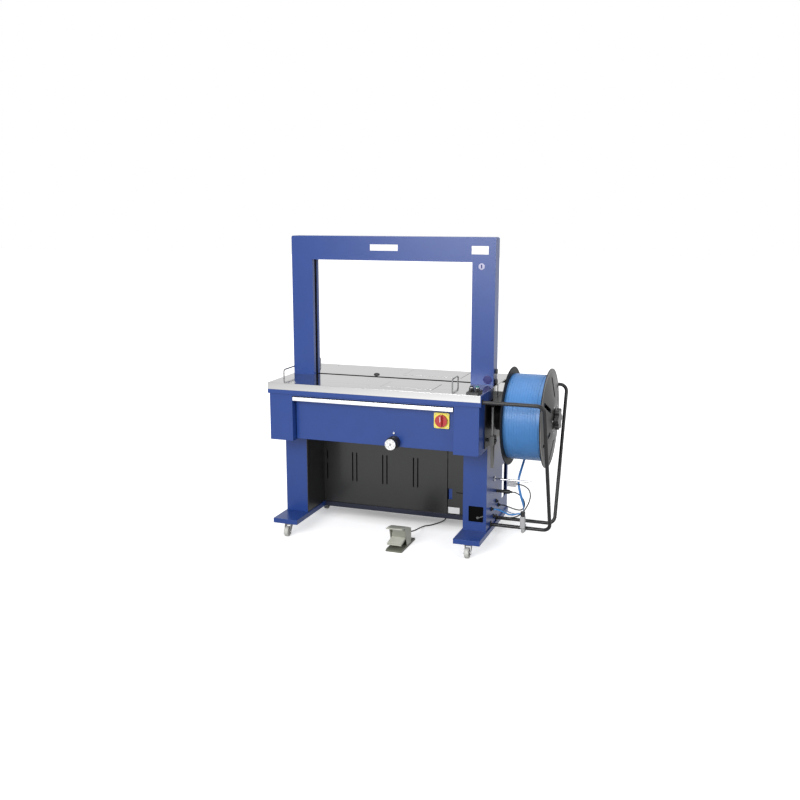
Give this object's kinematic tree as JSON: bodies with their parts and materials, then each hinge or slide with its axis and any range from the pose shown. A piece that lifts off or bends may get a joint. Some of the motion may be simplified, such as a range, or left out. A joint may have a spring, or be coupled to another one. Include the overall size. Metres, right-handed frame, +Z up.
{
  "type": "arch strapping machine",
  "caption": "Arch strapping machine: steel table with strap arch, strap reel on a side tube frame, folding front flap, strapping head, strap magazine, casters and foot pedal.",
  "frame": {"origin": "on the floor, under the middle of the whole machine's box", "axes": "+X to the reel's side, +Y to the back, away from the operator, +Z up"},
  "size_m": [1.4214, 0.665, 1.54],
  "materials": {
    "blue_paint": "gloss powder coat",
    "navy_paint": "gloss powder coat",
    "grey_paint": "gloss powder coat",
    "black_paint": "satin paint",
    "stainless": "bright brushed",
    "chrome": "polished",
    "bright_steel": "turned",
    "aluminium": "anodised",
    "black_plastic": "moulded",
    "strap": "embossed",
    "yellow_plastic": "moulded",
    "red_plastic": "moulded",
    "teal_plastic": "moulded",
    "pedal_paint": "hammered paint",
    "dark_pedal": "hammered paint",
    "rubber": "smooth",
    "blue_tube": "smooth",
    "grey_rubber": "smooth",
    "cast": "painted",
    "gauge_metal": "gloss"
  },
  "bodies": {
    "frame": {"left_foot": "blue_paint", "right_foot": "blue_paint", "left_leg": "blue_paint", "right_leg": "blue_paint", "bottom_rail": "navy_paint", "lower_cover": "grey_paint", "strap_magazine": "black_paint", "housing": "blue_paint", "table_front": "stainless", "table_rear": "stainless", "arch_front": "blue_paint", "arch_rear": "blue_paint", "strap_track": "black_paint", "arch_latches": "black_plastic", "table_loops": "chrome", "console": "black_plastic", "reel_bracket": "grey_paint", "reel_frame_front": "black_paint", "reel_frame_rear": "black_paint", "strap_guide": "chrome", "air_filter": "aluminium", "cable_glands": "black_plastic", "head_frame": "black_paint", "gear_motor": "cast", "pedal_base": "dark_pedal", "pedal_hood": "pedal_paint", "pedal_cable": "rubber", "sensor_cable": "rubber", "power_lead": "rubber", "air_tube": "blue_tube", "strap_run": "strap"},
    "flap": {"front_flap": "blue_paint", "flap_handle": "aluminium", "switch_plate": "yellow_plastic", "regulator": "black_paint", "pressure_gauge": "gauge_metal"},
    "switch": {"switch_knob": "red_plastic"},
    "needle": {"gauge_needle": "black_plastic"},
    "door": {"magazine_door": "grey_paint"},
    "reel": {"inner_flange": "black_paint", "strap_coil": "strap", "strap_winding": "strap", "outer_flange": "grey_paint"},
    "nut": {"hub_nut": "black_plastic"},
    "brake": {"brake_lever": "grey_paint"},
    "treadle": {"pedal_treadle": "pedal_paint"},
    "start": {"start_button": "teal_plastic"},
    "reset": {"reset_button": "black_plastic"},
    "cam": {"cam_shaft": "bright_steel"},
    "feed": {"feed_wheel": "rubber"},
    "pinch": {"pinch_wheel": "rubber"},
    "anvil": {"anvil_slide": "bright_steel"},
    "fork_fl": {"caster_fork_fl": "bright_steel"},
    "wheel_fl": {"caster_wheel_fl": "grey_rubber"},
    "fork_fr": {"caster_fork_fr": "bright_steel"},
    "wheel_fr": {"caster_wheel_fr": "grey_rubber"},
    "fork_rl": {"caster_fork_rl": "bright_steel"},
    "wheel_rl": {"caster_wheel_rl": "grey_rubber"},
    "fork_rr": {"caster_fork_rr": "bright_steel"},
    "wheel_rr": {"caster_wheel_rr": "grey_rubber"}
  },
  "joints": [
    {"name": "flap_hinge", "type": "hinge", "parent": "frame", "child": "flap", "pos_m": [-0.15875, -0.2635, 0.539], "axis": [1, 0, 0], "range_deg": [0, 85]},
    {"name": "switch_turn", "type": "hinge", "parent": "flap", "child": "switch", "pos_m": [0.19325, -0.2825, 0.68], "axis": [0, -1, 0], "range_deg": [0, 90]},
    {"name": "needle_turn", "type": "hinge", "parent": "flap", "child": "needle", "pos_m": [-0.04975, -0.3305, 0.554], "axis": [0, 1, 0], "range_deg": [0, 270], "stiffness_Nm_per_rad": 0.002, "springref_deg": -17.19},
    {"name": "door_hinge", "type": "hinge", "parent": "frame", "child": "door", "pos_m": [0.25425, 0.079, 0.3], "axis": [0, 0, 1], "range_deg": [0, 90]},
    {"name": "reel_spin", "type": "hinge", "parent": "frame", "child": "reel", "pos_m": [0.54125, 0.0075, 0.667], "axis": [1, 0, 0], "continuous": true},
    {"name": "nut_turn", "type": "hinge", "parent": "frame", "child": "nut", "pos_m": [0.69925, 0.0075, 0.667], "axis": [1, 0, 0], "continuous": true},
    {"name": "brake_swing", "type": "hinge", "parent": "frame", "child": "brake", "pos_m": [0.41925, -0.1725, 0.578], "axis": [1, 0, 0], "range_deg": [-8, 8], "stiffness_Nm_per_rad": 8},
    {"name": "pedal_press", "type": "hinge", "parent": "frame", "child": "treadle", "pos_m": [-0.04075, -0.1975, 0.04], "axis": [1, 0, 0], "range_deg": [0, 8], "stiffness_Nm_per_rad": 6, "springref_deg": -11.46},
    {"name": "start_press", "type": "slide", "parent": "frame", "child": "start", "axis": [0, 0, -1], "range_m": [0, 0.004], "stiffness_N_per_m": 300, "springref_m": -0.004},
    {"name": "reset_press", "type": "slide", "parent": "frame", "child": "reset", "axis": [0, 0, -1], "range_m": [0, 0.004], "stiffness_N_per_m": 300, "springref_m": -0.004},
    {"name": "cam_turn", "type": "hinge", "parent": "frame", "child": "cam", "pos_m": [-0.15875, 0.0275, 0.64], "axis": [1, 0, 0], "continuous": true},
    {"name": "feed_turn", "type": "hinge", "parent": "frame", "child": "feed", "pos_m": [-0.26975, -0.0125, 0.714], "axis": [1, 0, 0], "continuous": true},
    {"name": "pinch_turn", "type": "hinge", "parent": "frame", "child": "pinch", "pos_m": [-0.26975, -0.0125, 0.7752], "axis": [1, 0, 0], "continuous": true},
    {"name": "anvil_move", "type": "slide", "parent": "frame", "child": "anvil", "axis": [0, 1, 0], "range_m": [0, 0.018]},
    {"name": "swivel_fl", "type": "hinge", "parent": "frame", "child": "fork_fl", "pos_m": [-0.64375, -0.245, 0.06], "axis": [0, 0, 1], "continuous": true},
    {"name": "swivel_fr", "type": "hinge", "parent": "frame", "child": "fork_fr", "pos_m": [0.32625, -0.245, 0.06], "axis": [0, 0, 1], "continuous": true},
    {"name": "swivel_rl", "type": "hinge", "parent": "frame", "child": "fork_rl", "pos_m": [-0.64375, 0.26, 0.06], "axis": [0, 0, 1], "continuous": true},
    {"name": "swivel_rr", "type": "hinge", "parent": "frame", "child": "fork_rr", "pos_m": [0.32625, 0.26, 0.06], "axis": [0, 0, 1], "continuous": true},
    {"name": "roll_fl", "type": "hinge", "parent": "fork_fl", "child": "wheel_fl", "pos_m": [-0.64375, -0.265, 0.027], "axis": [1, 0, 0], "continuous": true},
    {"name": "roll_fr", "type": "hinge", "parent": "fork_fr", "child": "wheel_fr", "pos_m": [0.32625, -0.265, 0.027], "axis": [1, 0, 0], "continuous": true},
    {"name": "roll_rl", "type": "hinge", "parent": "fork_rl", "child": "wheel_rl", "pos_m": [-0.64375, 0.24, 0.027], "axis": [1, 0, 0], "continuous": true},
    {"name": "roll_rr", "type": "hinge", "parent": "fork_rr", "child": "wheel_rr", "pos_m": [0.32625, 0.24, 0.027], "axis": [1, 0, 0], "continuous": true}
  ],
  "couplings": [
    {"joint": "pinch_turn", "follows": "feed_turn", "ratio": -2}
  ]
}
